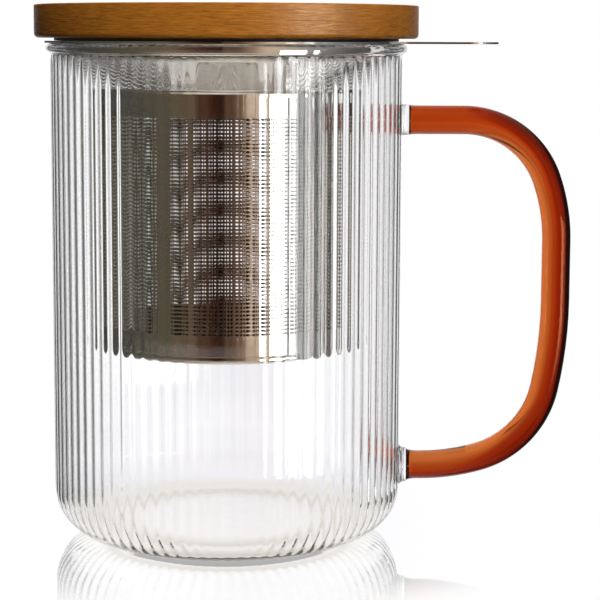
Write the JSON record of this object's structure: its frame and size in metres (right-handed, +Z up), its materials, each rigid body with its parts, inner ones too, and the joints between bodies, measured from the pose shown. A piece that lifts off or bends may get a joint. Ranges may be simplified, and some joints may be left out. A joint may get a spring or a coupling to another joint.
{
  "type": "lidded tea mug with infuser",
  "caption": "Reeded clear glass mug with an amber glass loop handle, a lift-out perforated steel tea infuser with a side tab, and a lift-off bamboo lid with a seal.",
  "frame": {"origin": "centre of the flat underside of the glass base, on the surface that the mug stands on", "axes": "+Z up along the axis of the glass, +X through the middle of the handle and the lifting tab"},
  "size_m": [0.1316, 0.0936, 0.1304],
  "materials": {
    "clear_glass": "clear borosilicate, blown into a reeded mould, fire-polished rim",
    "amber_glass": "clear amber, smooth drawn rod",
    "polished_steel": "pressed stainless sheet, polished",
    "perforated_steel": "rolled stainless sheet with fine round perforations, polished",
    "bamboo": "carbonised bamboo plies, sanded and oiled",
    "silicone": "translucent white silicone, matt"
  },
  "bodies": {
    "cup": {"cup_body": "clear_glass", "handle_rod": "amber_glass", "handle_upper_foot": "clear_glass", "handle_lower_foot": "clear_glass"},
    "infuser": {"infuser_rim": "polished_steel", "infuser_sleeve": "perforated_steel", "infuser_base": "polished_steel"},
    "lid": {"lid_upper_ply": "bamboo", "lid_lower_ply": "bamboo", "lid_seal": "silicone"}
  },
  "joints": [
    {"name": "infuser_lift", "type": "slide", "parent": "cup", "child": "infuser", "axis": [0, 0, 1], "range_m": [0, 0.085]},
    {"name": "lid_lift", "type": "slide", "parent": "infuser", "child": "lid", "axis": [0, 0, 1], "range_m": [0, 0.04]}
  ]
}
